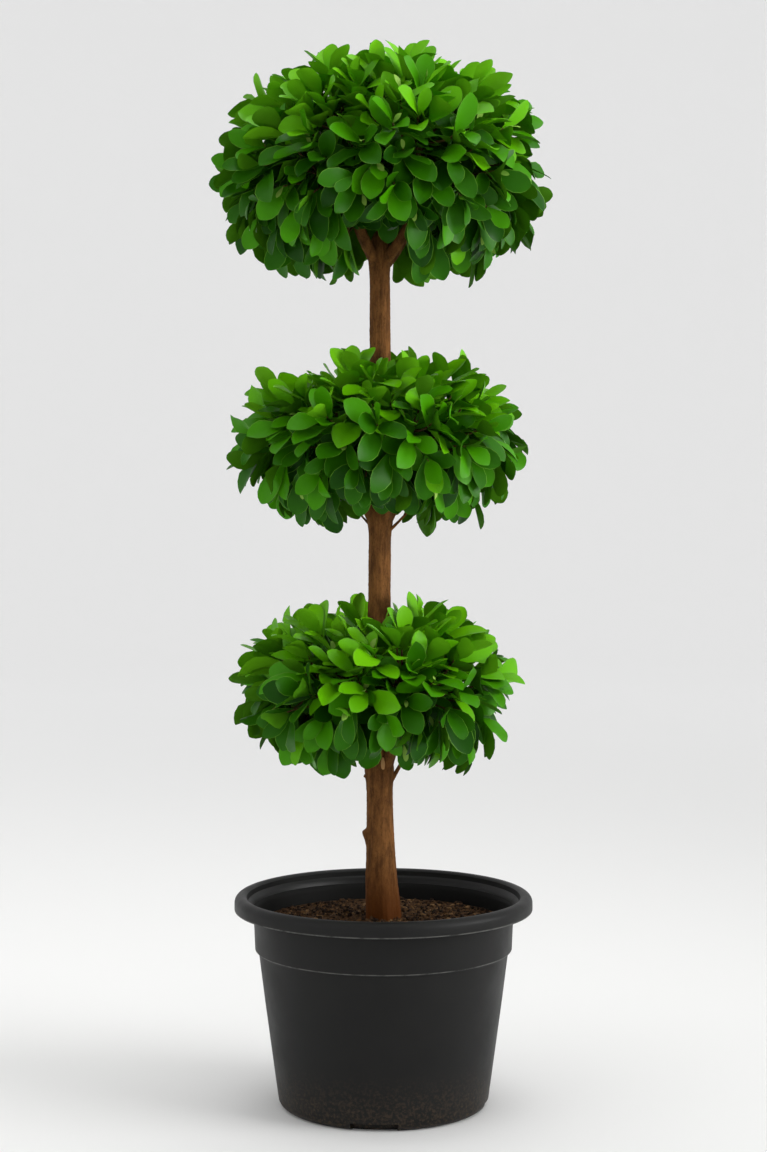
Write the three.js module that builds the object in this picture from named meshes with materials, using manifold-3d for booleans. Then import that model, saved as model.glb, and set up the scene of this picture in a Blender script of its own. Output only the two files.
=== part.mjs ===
// Potted ficus trained as a tiered topiary: one clear trunk in a black nursery pot, with three clipped tiers
// of foliage. Millimetres, +Z up. The origin is on the pot's axis at ground level, and the front faces -Y.
// A whorl of boughs carries each tier, and each bough carries one mass of foliage in a wedge of its own.

import * as THREE from "three";
import { mergeVertices } from "three/addons/utils/BufferGeometryUtils.js";
import Module from "manifold-3d";

const wasm = await Module();
wasm.setup();

const { lerp, clamp, degToRad } = THREE.MathUtils;

// Driving dimensions
const clearance = 0.3; // left between two pieces that seat on each other
const goldenAngle = Math.PI * (3 - Math.sqrt(5)); // from one shoot to the next round a tier

const pot = {
  height: 284,
  rimRadius: 200,
  lipDepth: 20, // the outer skirt of the lip that folds over
  crestRadius: 190,
  bandTop: 262, // the band is the plain collar under the lip
  bandTopRadius: 175,
  bandFoot: 212,
  bandFootRadius: 172.5,
  wallTop: 202,
  wallTopRadius: 167.5,
  wallFootRadius: 142,
  cornerRadius: 12,
  footWidth: 10,
  footHeight: 9,
  wall: 3.2,
  floor: 4.2,
  segments: 32,
};
// Drain notches in the outside of the foot, the first at the front
const notch = { count: 4, width: 58, height: 10.5, depth: 14, turn: -95 };

const soil = { level: 252, flatRadius: 46, edgeLevel: 244, wallGap: 0.4 };

const trunk = {
  foot: soil.level + clearance,
  tip: 1153, // the fork in the top tier
  lean: -5, // its line stands left of the pot's axis, and wanders
  footSwing: 3.5,
  sway: 1,
  swayLength: 120,
  stations: [252, 450, 690, 1110, 1153], // heights that the radii go with
  radii: [18.6, 17.3, 14.8, 13.2, 12.4],
  flare: 7,
  flareHeight: 62,
  collar: 3.4, // swelling where a whorl of boughs leaves
  collarHeight: 20,
  sides: 8,
  steps: 34,
};

// Pruned knots and bare side shoots on the clear trunk; reach is from the trunk's surface
const snags = [
  { at: 362, azimuth: 188, rise: 12, reach: 6, radius: 5.5, tipRadius: 4 },
  { at: 426, azimuth: 355, rise: 55, reach: 20, radius: 4.5, tipRadius: 2 },
  { at: 428, azimuth: 175, rise: 35, reach: 5, radius: 4, tipRadius: 3 },
  { at: 772, azimuth: 345, rise: 42, reach: 28, radius: 2.6, tipRadius: 1.4 },
  { at: 776, azimuth: 165, rise: 45, reach: 16, radius: 2.2, tipRadius: 1.2 },
];

const bough = { count: 4, radius: 8.5, tipRadius: 5.5, sides: 6, steps: 3, startBelow: 16, stagger: 6 };
// A stem goes on from a bough into its mass; peg is what shows of it before the core
const stem = { radius: 5.5, tipRadius: 3, sides: 6, steps: 2, peg: 9 };
const twig = { radius: 4, tipRadius: 3 };
// A spur is the end of a twig, which stands out of the core
const spur = { radius: 4.5, tipRadius: 3.6, length: 34, tries: 10 };
const leaf = {
  length: 74,
  width: 38,
  thickness: 3,
  spacing: 5, // up the spur
  sink: 0.6, // past the spur's axis
  open: [22, 48, 56, 64], // from the spur's axis: the leaf on its tip, then one on each side
  sizes: [0.64, 1, 1, 1],
  openSpread: 22,
  sway: 24,
  tries: 8,
  overhang: 26, // how far a leaf may reach over the plane to the next mass, where nothing stands yet
  apart: 0.4, // from any other leaf, spur, limb or core
};

// Leaf tips reach each tier's outline, whose section is a squared ellipse: over the equator its power is the
// tier's shoulder, and under it the skirt's
const skirtPower = 2.1;
const depth = { shoot: 46, core: 60 }; // how far the shoot tips and the core lie inside the outline
const shootEnd = degToRad(152); // polar angle of the lowest shoots, from the top of a tier
const core = { wedgeSegments: 3, rows: 6 };
const hollow = { roof: 18, trunkGap: 8 }; // the space in the cores for the boughs and the trunk
const weld = 0.05; // edges shorter than this are closed up once a mass is joined
const wedgeGap = 0.5; // from a mass to the plane that it shares with its neighbour

const tiers = [
  {
    name: "low",
    axis: -7,
    equator: 552,
    radius: 199,
    rise: 132,
    drop: 108,
    shoulder: 2.5,
    hollow: 50, // radius of the space for the boughs
    whorl: 452,
    turn: 40,
    shoots: 36,
    seed: 11,
  },
  {
    name: "middle",
    axis: -4,
    equator: 886,
    radius: 204,
    rise: 133,
    drop: 118,
    shoulder: 2.3,
    hollow: 50,
    whorl: 790,
    turn: 30,
    shoots: 37,
    seed: 23,
  },
  {
    name: "top",
    axis: 0,
    equator: 1232,
    radius: 233,
    rise: 188,
    drop: 140,
    shoulder: 2.15,
    hollow: 68,
    whorl: 1136,
    turn: 45,
    shoots: 52,
    seed: 41,
  },
];

const finish = {
  plastic: new THREE.MeshStandardMaterial({ color: 0x262624, roughness: 0.5, metalness: 0 }),
  soil: new THREE.MeshStandardMaterial({ color: 0x2a1d11, roughness: 1, metalness: 0 }),
  bark: new THREE.MeshStandardMaterial({ color: 0x5a3c22, roughness: 0.9, metalness: 0 }),
  leaf: new THREE.MeshStandardMaterial({ color: 0x2f6a10, roughness: 0.45, metalness: 0 }),
};

// Seeded random numbers from 0 to 1, the same on every run
function seeded(seed) {
  let state = seed;
  return () => {
    state = (state + 0x6d2b79f5) | 0;
    let mixed = Math.imul(state ^ (state >>> 15), 1 | state);
    mixed = (mixed + Math.imul(mixed ^ (mixed >>> 7), 61 | mixed)) ^ mixed;
    return ((mixed ^ (mixed >>> 14)) >>> 0) / 4294967296;
  };
}

// A closed geometry as a solid that can be joined and cut
function solidOf(geometry) {
  const bare = new THREE.BufferGeometry();
  bare.setAttribute("position", geometry.getAttribute("position"));
  bare.setIndex(geometry.index);
  const merged = mergeVertices(bare, 1e-3);
  return new wasm.Manifold(
    new wasm.Mesh({
      numProp: 3,
      vertProperties: new Float32Array(merged.attributes.position.array),
      triVerts: new Uint32Array(merged.index.array),
    }),
  );
}

// A solid as a named mesh
function piece(name, solid, material) {
  const { vertProperties, triVerts } = solid.getMesh();
  const geometry = new THREE.BufferGeometry();
  geometry.setAttribute("position", new THREE.BufferAttribute(new Float32Array(vertProperties), 3));
  geometry.setIndex(new THREE.BufferAttribute(new Uint32Array(triVerts), 1));
  geometry.computeVertexNormals();
  const mesh = new THREE.Mesh(geometry, material);
  mesh.name = name;
  return mesh;
}

// A profile of [radius, height] pairs turned round an upright axis at x
function turned(profile, segments, x = 0, turn = 0) {
  const points = profile.map(([radius, height]) => new THREE.Vector2(radius, height));
  const geometry = new THREE.LatheGeometry(points, segments).rotateX(Math.PI / 2);
  return solidOf(geometry.rotateZ(degToRad(turn)).translate(x, 0, 0));
}

// A round limb: a cylinder bent along a curve; radiusAt gives its radius from root (0) to tip (1)
function limb(curve, radiusAt, sides, steps) {
  const geometry = new THREE.CylinderGeometry(1, 1, 1, sides, steps);
  const frames = curve.computeFrenetFrames(steps);
  const position = geometry.getAttribute("position");
  for (let i = 0; i < position.count; i++) {
    const row = Math.round((position.getY(i) + 0.5) * steps);
    const radius = radiusAt(row / steps);
    const place = curve.getPointAt(row / steps);
    place.addScaledVector(frames.normals[row], position.getX(i) * radius);
    place.addScaledVector(frames.binormals[row], -position.getZ(i) * radius);
    position.setXYZ(i, place.x, place.y, place.z);
  }
  return solidOf(geometry);
}

// A limb that tapers evenly
function tapered(curve, { radius, tipRadius, sides = 3, steps = 1 }) {
  return limb(curve, (along) => lerp(radius, tipRadius, along), sides, steps);
}

// A direction from an azimuth and a rise above the level, in degrees
function heading(azimuth, rise = 0) {
  const level = Math.cos(degToRad(rise));
  const turn = degToRad(azimuth);
  return new THREE.Vector3(level * Math.cos(turn), level * Math.sin(turn), Math.sin(degToRad(rise)));
}

// A value that runs straight from one station to the next
function between(stations, values, at) {
  const last = stations.length - 1;
  const next = stations.findIndex((station, i) => i > 0 && (station >= at || i === last));
  const along = (at - stations[next - 1]) / (stations[next] - stations[next - 1]);
  return lerp(values[next - 1], values[next], clamp(along, 0, 1));
}

// The inside of the pot's wall from its floor to the top of its band, drawn in by gap
function innerWall(gap) {
  const inset = pot.wall + gap;
  return [
    [pot.wallFootRadius - inset, pot.footHeight + pot.floor],
    [pot.wallTopRadius - inset, pot.wallTop],
    [pot.bandFootRadius - inset, pot.bandFoot],
    [pot.bandTopRadius - inset, pot.bandTop],
  ];
}

// Pot: a turned wall with a lip that folds over, a band, a step, and a foot ring with drain notches
function potSolid() {
  const footRadius = pot.wallFootRadius - pot.cornerRadius;
  const skirtFoot = pot.height - pot.lipDepth;
  const skirtInside = pot.rimRadius - pot.wall;
  const lipUnder = pot.height - pot.wall;
  const corner = [-60, -30, 0].map((turn) => [
    footRadius + pot.cornerRadius * Math.cos(degToRad(turn)),
    pot.cornerRadius * (1 + Math.sin(degToRad(turn))),
  ]);
  const profile = [
    [0, pot.footHeight],
    [footRadius - pot.footWidth, pot.footHeight],
    [footRadius - pot.footWidth, 0],
    [footRadius, 0],
    ...corner,
    [pot.wallTopRadius, pot.wallTop],
    [pot.bandFootRadius - 1, pot.bandFoot - 4],
    [pot.bandFootRadius, pot.bandFoot],
    [pot.bandTopRadius, pot.bandTop],
    [pot.crestRadius - 8, lipUnder - 5],
    [pot.crestRadius + 2, lipUnder],
    [skirtInside, lipUnder - 4],
    [skirtInside, skirtFoot],
    [pot.rimRadius - 0.5, skirtFoot],
    [pot.rimRadius, skirtFoot + 6],
    [pot.rimRadius - 2, pot.height - 4],
    [pot.crestRadius + 3, pot.height],
    [pot.crestRadius - 2, pot.height - 0.5],
    [pot.crestRadius - 6, pot.height - 4],
    ...innerWall(0).reverse(),
    [0, pot.footHeight + pot.floor],
  ];
  const cutters = Array.from({ length: notch.count }, (_, i) => {
    const box = new THREE.BoxGeometry(2 * notch.depth, notch.width, 2 * notch.height);
    const turn = degToRad(notch.turn + (i * 360) / notch.count);
    return solidOf(box.translate(pot.wallFootRadius, 0, 0).rotateZ(turn));
  });
  return turned(profile, pot.segments).subtract(wasm.Manifold.union(cutters));
}

// Soil: fills the pot to a low mound, which is flat in the middle where the trunk stands
function soilSolid() {
  const [foot, wallTop, bandFoot, bandTop] = innerWall(soil.wallGap);
  const edgeRadius = between([bandFoot[1], bandTop[1]], [bandFoot[0], bandTop[0]], soil.edgeLevel);
  const profile = [
    [0, foot[1] + clearance],
    [foot[0], foot[1] + clearance],
    [wallTop[0], wallTop[1] + clearance],
    [bandFoot[0], bandFoot[1] + clearance],
    [edgeRadius, soil.edgeLevel],
    [0.65 * edgeRadius, lerp(soil.edgeLevel, soil.level, 0.5)],
    [soil.flatRadius, soil.level],
    [0, soil.level],
  ];
  return turned(profile, pot.segments);
}

// The trunk's middle at a height
function trunkPoint(height) {
  const swing = trunk.footSwing * Math.exp((trunk.foot - height) / trunk.flareHeight);
  const turn = height / trunk.swayLength;
  const x = trunk.lean + swing + trunk.sway * Math.sin(turn);
  return new THREE.Vector3(x, trunk.sway * Math.cos(turn), height);
}

class TrunkLine extends THREE.Curve {
  getPoint(along) {
    return trunkPoint(lerp(trunk.foot - clearance, trunk.tip, along));
  }
}

// The trunk's radius at a height: an even taper, a root flare, and a collar at each whorl
function trunkRadius(height) {
  const bell = (middle, spread) => Math.exp(-(((height - middle) / spread) ** 2));
  const collars = tiers.reduce((sum, tier) => sum + bell(tier.whorl, trunk.collarHeight), 0);
  const flare = trunk.flare * bell(trunk.foot, trunk.flareHeight);
  return between(trunk.stations, trunk.radii, height) + flare + trunk.collar * collars;
}

// The bare pole of the trunk; with extra, a sleeve that cuts its neighbours clear of it
function pole(extra) {
  const line = new TrunkLine();
  return limb(line, (along) => trunkRadius(line.getPointAt(along).z) + extra, trunk.sides, trunk.steps);
}

function trunkSolid() {
  const shoots = snags.map((snag) => {
    const root = trunkPoint(snag.at);
    const length = trunkRadius(snag.at) / Math.cos(degToRad(snag.rise)) + snag.reach;
    const tip = root.clone().addScaledVector(heading(snag.azimuth, snag.rise), length);
    return tapered(new THREE.LineCurve3(root, tip), { ...snag, sides: 6 });
  });
  return wasm.Manifold.union([pole(0), ...shoots]).trimByPlane([0, 0, 1], trunk.foot);
}

function boughAzimuth(tier, index) {
  return tier.turn + (index * 360) / bough.count;
}

// A point in a bough's own upright plane
function boughPlace(tier, index, radius, height) {
  const foot = new THREE.Vector3(tier.axis, 0, height);
  return foot.addScaledVector(heading(boughAzimuth(tier, index)), radius);
}

// A bough's line, from inside the trunk at its whorl up and out to where its mass begins
function boughLine(tier, index) {
  const root = trunkPoint(tier.whorl - bough.startBelow + bough.stagger * (index % 2));
  const bend = boughPlace(tier, index, 0.55 * tier.hollow, tier.whorl + 0.3 * bough.startBelow);
  const end = boughPlace(tier, index, tier.hollow - stem.peg, tier.equator - 0.25 * tier.drop);
  return new THREE.QuadraticBezierCurve3(root, bend, end);
}

function boughSolid(tier, index) {
  return tapered(boughLine(tier, index), bough).subtract(pole(clearance));
}

// A stem's line, on from its bough's tip to the heart of its mass
function stemLine(tier, index) {
  const way = boughLine(tier, index).getTangent(1);
  const root = boughLine(tier, index).getPoint(1).addScaledVector(way, clearance);
  const heart = boughPlace(tier, index, 0.58 * tier.radius, tier.equator + 0.05 * tier.rise);
  return new THREE.QuadraticBezierCurve3(root, root.clone().addScaledVector(way, 2 * stem.peg), heart);
}

// A point on a tier's outline drawn in by inset, at a polar angle from the top and an azimuth
function surfacePoint(tier, inset, polar, azimuth) {
  const up = Math.cos(polar);
  const power = 2 / (up >= 0 ? tier.shoulder : skirtPower);
  const radius = (tier.radius - inset) * Math.max(0, Math.sin(polar)) ** power;
  const height = ((up >= 0 ? tier.rise : tier.drop) - inset) * Math.abs(up) ** power;
  return new THREE.Vector3(
    tier.axis + radius * Math.cos(azimuth),
    radius * Math.sin(azimuth),
    tier.equator + Math.sign(up) * height,
  );
}

// How far out a point lies in a tier: 1 is on its outline
function reach(tier, point) {
  const up = point.z - tier.equator;
  const power = up >= 0 ? tier.shoulder : skirtPower;
  const level = Math.hypot(point.x - tier.axis, point.y) / tier.radius;
  return level ** power + (Math.abs(up) / (up >= 0 ? tier.rise : tier.drop)) ** power;
}

// The way straight out of a tier at a point
function outward(tier, point) {
  const up = point.z - tier.equator;
  const height = up >= 0 ? tier.rise : tier.drop;
  const level = tier.radius ** 2;
  return new THREE.Vector3((point.x - tier.axis) / level, point.y / level, up / height ** 2).normalize();
}

// The two upright planes of a bough's wedge; each keeps the side that its normal points to
function wedge(tier, index) {
  const half = 180 / bough.count;
  return [half - 90, 90 - half].map((turn) => {
    const normal = heading(boughAzimuth(tier, index) + turn);
    return { normal, offset: normal.x * tier.axis + wedgeGap };
  });
}

function inside(planes, point, margin = 0) {
  return planes.every(({ normal, offset }) => normal.dot(point) >= offset + margin);
}

// The space that the boughs and the trunk stand in; the trunk runs on up through every tier but the top one
function hollowSolid(tier) {
  const low = tier.equator - tier.drop;
  const roof = tier.equator - 0.25 * tier.drop + hollow.roof;
  const shaft = trunkRadius(tier.equator) + hollow.trunkGap;
  const lid = roof + hollow.roof;
  const peak = tier.equator + tier.rise;
  const through = trunk.tip > tier.equator;
  const shaftWall = through ? [[shaft, lid], [shaft, peak]] : [];
  const room = [[0, low], [tier.hollow, low], [tier.hollow, roof]];
  return turned([...room, ...shaftWall, [0, through ? peak : lid]], 12, tier.axis);
}

// A core: the tier's outline drawn in, cut to one wedge and clear of the hollow
function coreSolid(tier, index) {
  const profile = Array.from({ length: core.rows + 1 }, (_, row) => {
    const point = surfacePoint(tier, depth.core, Math.PI * (1 - row / core.rows), 0);
    return [row % core.rows === 0 ? 0 : point.x - tier.axis, point.z];
  });
  // the wedge's sides fall on corners of the turned core
  const whole = turned(profile, bough.count * core.wedgeSegments, tier.axis, boughAzimuth(tier, 0.5));
  const trim = (left, { normal, offset }) => left.trimByPlane(normal.toArray(), offset);
  return wedge(tier, index).reduce(trim, whole).subtract(hollowSolid(tier));
}

// One leaf: a thin spoon shape of ten faces, with its root at the origin, its tip along +X and its face to +Y
function leafGeometry(length, width) {
  const geometry = new THREE.SphereGeometry(1, 5, 2);
  const position = geometry.getAttribute("position");
  for (let i = 0; i < position.count; i++) {
    // the sphere's five corners become the root, the widest pair and the two corners of the blunt tip
    const along = 0.5 + 0.5 * position.getX(i);
    const forward = along < 0.05 ? 0 : Math.min(1, 0.2 + 0.86 * along ** 0.8);
    const rise = position.getY(i) * 0.5 * leaf.thickness;
    position.setXYZ(i, forward * length, rise, position.getZ(i) * 0.53 * width);
  }
  return geometry;
}

// Whether a spur or leaf comes too near to a limb, a neighbour's core, or what has grown before it
function touches(place, { root, solid }, before) {
  const near = before.filter((other) => other.root.distanceTo(root) < 2 * leaf.length);
  const others = [...near.map((other) => other.solid), ...place.solids];
  return others.some((other) => other.minGap(solid, leaf.apart) < leaf.apart);
}

// A leaf set on a spur, or null where it would leave its space or touch something
function leafOn(place, root, axis, spoke, open, size, before) {
  const way = axis.clone().multiplyScalar(Math.cos(open)).addScaledVector(spoke, Math.sin(open));
  const face = axis.clone().addScaledVector(way, -axis.dot(way)).normalize();
  const frame = new THREE.Matrix4().makeBasis(way, face, way.clone().cross(face));
  frame.setPosition(root.clone().addScaledVector(way, -leaf.sink));
  const blade = leafGeometry(size * leaf.length, size * leaf.width).applyMatrix4(frame);
  const corners = blade.getAttribute("position");
  for (let i = 0; i < corners.count; i++) {
    const corner = new THREE.Vector3().fromBufferAttribute(corners, i);
    if (!inside(place.planes, corner, -leaf.overhang) || reach(place.tier, corner) > 1) return null;
  }
  const grown = { root, solid: solidOf(blade) };
  return touches(place, grown, before) ? null : grown;
}

// A spray: a three-sided spur with a young leaf on its tip and a leaf on each side
function spray(place, tip, axis, turn, before, random) {
  const side = new THREE.Vector3(0, 0, 1).cross(axis).normalize().applyAxisAngle(axis, turn);
  const frame = new THREE.Matrix4().makeBasis(side, axis, side.clone().cross(axis)).setPosition(tip);
  const bar = new THREE.CylinderGeometry(spur.tipRadius, spur.radius, spur.length, 3, 1);
  bar.translate(0, -0.5 * spur.length, 0).applyMatrix4(frame);
  const leaves = [];
  leaf.open.forEach((middle, i) => {
    const root = tip.clone().addScaledVector(axis, -leaf.spacing * (i + 0.4));
    for (let attempt = 0; attempt < leaf.tries; attempt++) {
      // a leaf with little room stands closer to the spur and is smaller
      const room = 1 - attempt / leaf.tries;
      // the middles of the spur's sides are a third of a turn apart
      const spoke = side.clone().applyAxisAngle(axis, degToRad(120 * i - 30 + leaf.sway * (random() - 0.5)));
      const open = degToRad(middle + leaf.openSpread * (random() - 0.5)) * lerp(0.3, 1, room);
      const size = leaf.sizes[i] * lerp(1, 1.06, random()) * lerp(0.58, 1, room);
      const grown = leafOn(place, root, axis, spoke, open, size, [...before, ...leaves]);
      if (grown === null) continue;
      leaves.push(grown);
      return;
    }
  });
  return { spur: { root: tip, solid: solidOf(bar) }, leaves };
}

// Shoot tips on a spiral over a tier, evenly by area from its top to the rim of the hollow under it
function shootTips(tier) {
  const rows = 60;
  const polars = Array.from({ length: rows + 1 }, (_, row) => (shootEnd * row) / rows);
  const areas = [0];
  for (const polar of polars.slice(1)) {
    const height = (Math.cos(polar) >= 0 ? tier.rise : tier.drop) - depth.shoot;
    const slope = Math.hypot(height * Math.sin(polar), (tier.radius - depth.shoot) * Math.cos(polar));
    areas.push(areas.at(-1) + slope * Math.sin(polar));
  }
  return Array.from({ length: tier.shoots }, (_, k) => {
    const polar = between(areas, polars, ((k + 0.5) / tier.shoots) * areas.at(-1));
    return surfacePoint(tier, depth.shoot, polar, k * goldenAngle);
  });
}

// A tier's masses: each is a core, a stem from its bough's tip, and twigs that end in sprays of leaves
function massSolids(tier, limbs) {
  const cores = Array.from({ length: bough.count }, (_, index) => coreSolid(tier, index));
  const grown = []; // every spur and leaf of the tier so far
  return cores.map((own, index) => {
    const random = seeded(tier.seed + index);
    const others = cores.filter((other) => other !== own);
    const place = { tier, planes: wedge(tier, index), solids: [...limbs, ...others] };
    const line = stemLine(tier, index);
    const parts = [own, tapered(line, stem)];
    for (const tip of shootTips(tier)) {
      const axis = outward(tier, tip);
      const foot = tip.clone().addScaledVector(axis, -0.8 * spur.length);
      if (![tip, foot].every((end) => inside(place.planes, end, 1.2 * spur.radius))) continue;
      // of a few turns of the spur, the one that keeps the most leaves
      const turns = Array.from({ length: spur.tries }, () => 2 * Math.PI * random());
      const sprays = turns.map((turn) => spray(place, tip, axis, turn, grown, random));
      const best = sprays.reduce((most, one) => (one.leaves.length > most.leaves.length ? one : most));
      if (touches(place, best.spur, grown)) continue;
      const run = new THREE.LineCurve3(line.getPoint(0.35 + 0.6 * random()), foot);
      parts.push(tapered(run, twig), ...[best.spur, ...best.leaves].map(({ solid }) => solid));
      grown.push(best.spur, ...best.leaves);
    }
    const bodies = wasm.Manifold.union(parts).decompose();
    return bodies.reduce((most, body) => (body.volume() > most.volume() ? body : most)).simplify(weld);
  });
}

const plant = new THREE.Group();
const trunkBody = trunkSolid();
plant.add(piece("pot", potSolid(), finish.plastic));
plant.add(piece("soil", soilSolid(), finish.soil));
plant.add(piece("trunk", trunkBody, finish.bark));
for (const tier of tiers) {
  const boughs = Array.from({ length: bough.count }, (_, index) => boughSolid(tier, index));
  const masses = massSolids(tier, [trunkBody, ...boughs]);
  boughs.forEach((solid, index) => plant.add(piece(`bough_${tier.name}_${index + 1}`, solid, finish.bark)));
  masses.forEach((solid, index) => plant.add(piece(`foliage_${tier.name}_${index + 1}`, solid, finish.leaf)));
}

export default plant;
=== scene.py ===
# Potted ficus trained as a tiered topiary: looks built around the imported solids.
# Lengths are millimetres until a mesh is made, +Z is up, and the front of the plant faces -Y.
import math

import bpy
import numpy as np
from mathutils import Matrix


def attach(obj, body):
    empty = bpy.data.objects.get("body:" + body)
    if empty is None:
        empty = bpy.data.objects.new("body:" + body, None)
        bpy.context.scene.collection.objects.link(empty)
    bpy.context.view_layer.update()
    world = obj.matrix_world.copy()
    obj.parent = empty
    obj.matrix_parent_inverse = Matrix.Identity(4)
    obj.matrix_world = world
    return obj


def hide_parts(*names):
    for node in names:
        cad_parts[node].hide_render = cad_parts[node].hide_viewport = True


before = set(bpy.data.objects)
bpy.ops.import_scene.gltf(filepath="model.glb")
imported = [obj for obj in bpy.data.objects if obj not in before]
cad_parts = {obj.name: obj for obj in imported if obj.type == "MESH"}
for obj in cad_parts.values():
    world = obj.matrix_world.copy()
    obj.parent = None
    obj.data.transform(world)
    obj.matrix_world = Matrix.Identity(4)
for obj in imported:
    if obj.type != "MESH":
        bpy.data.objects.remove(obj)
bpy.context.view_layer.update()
print("frame:", len(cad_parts), "solids")

mm = 0.001
goldenAngle = math.pi * (3 - math.sqrt(5))  # from one shoot or leaf to the next
upward = np.array([0.0, 0.0, 1.0])


# arrays of vectors: the last axis holds x, y and z
def unit(v):
    return v / np.maximum(np.linalg.norm(v, axis=-1, keepdims=True), 1e-9)


# sum of the products of x, y and z, kept as a last axis of 1
def dot(a, b):
    return np.sum(a * b, axis=-1, keepdims=True)


# what is left of v once its part along way is taken off, at length 1
def square(v, way):
    return unit(v - dot(v, way) * way)


# a soft bell of height 1 about a middle
def bell(at, middle, spread):
    return np.exp(-(((at - middle) / spread) ** 2))


# evenly spaced angles round a circle
def evenTurns(sides):
    return np.linspace(0, 2 * math.pi, sides, endpoint=False)


# an angle brought between -pi and pi
def wrapped(angle):
    return (angle + math.pi) % (2 * math.pi) - math.pi


# point at t on a quadratic curve: (1-t)^2 root + 2t(1-t) bend + t^2 end
def curvePoint(t, root, bend, end):
    return (1 - t) ** 2 * root + 2 * t * (1 - t) * bend + t ** 2 * end


# a screen colour, 0 to 255, as the linear light that a shader takes
def screen(red, green, blue):
    level = np.array([red, green, blue]) / 255
    light = np.where(level <= 0.04045, level / 12.92, ((level + 0.055) / 1.055) ** 2.4)
    return (*light.tolist(), 1.0)


# noise as a sum of cosines: each wave runs at its own rate along both axes, and the sum is about 1 high
def ripple(first, second, firstRates, secondRates, seed):
    rng = np.random.default_rng(seed)
    total = np.zeros(np.broadcast(first, second).shape)
    for a, b, phase in zip(firstRates, secondRates, rng.uniform(0, 2 * math.pi, len(firstRates))):
        total += np.cos(a * first + b * second + phase)
    return total / math.sqrt(len(firstRates))


# faces of tubes: quads from each ring to the next, and a fan at each end to a pole, for count tubes in a row
def tubeFaces(rows, sides, count=1):
    row, side = np.meshgrid(np.arange(rows - 1), np.arange(sides), indexing="ij")
    after = (side + 1) % sides
    corners = [row * sides + side, row * sides + after, (row + 1) * sides + after, (row + 1) * sides + side]
    quads = np.stack(corners, -1).reshape(-1, 4)
    around = np.arange(sides)
    after = (around + 1) % sides
    last = (rows - 1) * sides
    foot = np.stack([np.full(sides, rows * sides), after, around], -1)
    tip = np.stack([np.full(sides, rows * sides + 1), last + around, last + after], -1)
    fans = np.concatenate([foot, tip])
    shift = (np.arange(count) * (rows * sides + 2))[:, None, None]
    return [(quads + shift).reshape(-1, 4), (fans + shift).reshape(-1, 3)]


# rings of a radius and a height turned round the Z axis, (r cos a, r sin a, z), with a pole at each end
def turnedPoints(radius, height, turns):
    rings = np.stack(np.broadcast_arrays(radius * np.cos(turns), radius * np.sin(turns), height), -1)
    poles = rings[[0, -1]].mean(axis=1) * upward
    return np.concatenate([rings.reshape(-1, 3), poles])


# one mesh object from whole arrays; dealt gives each face its material
def newPiece(name, points, faces, finishes, slot=None, replaced=(), dealt=None, sharp=None):
    corners = np.concatenate([f.ravel() for f in faces])
    sizes = np.concatenate([np.full(len(f), f.shape[1]) for f in faces])
    mesh = bpy.data.meshes.new(name)
    mesh.vertices.add(len(points))
    mesh.vertices.foreach_set("co", (np.asarray(points) * mm).astype(np.float32).ravel())
    mesh.loops.add(len(corners))
    mesh.loops.foreach_set("vertex_index", corners.astype(np.int32))
    mesh.polygons.add(len(sizes))
    starts = np.cumsum(sizes) - sizes
    mesh.polygons.foreach_set("loop_start", starts.astype(np.int32))
    for finish in finishes:
        mesh.materials.append(finish)
    if dealt is not None:
        mesh.polygons.foreach_set("material_index", np.asarray(dealt, np.int32))
    mesh.update(calc_edges=True)
    mesh.validate()
    mesh.polygons.foreach_set("use_smooth", np.ones(len(sizes), bool))
    if sharp is not None:
        mesh.set_sharp_from_angle(angle=math.radians(sharp))
    piece = bpy.data.objects.new(name, mesh)
    bpy.context.scene.collection.objects.link(piece)
    if slot is not None:
        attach(piece, "root")
        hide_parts(*replaced)
    return piece


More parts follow.
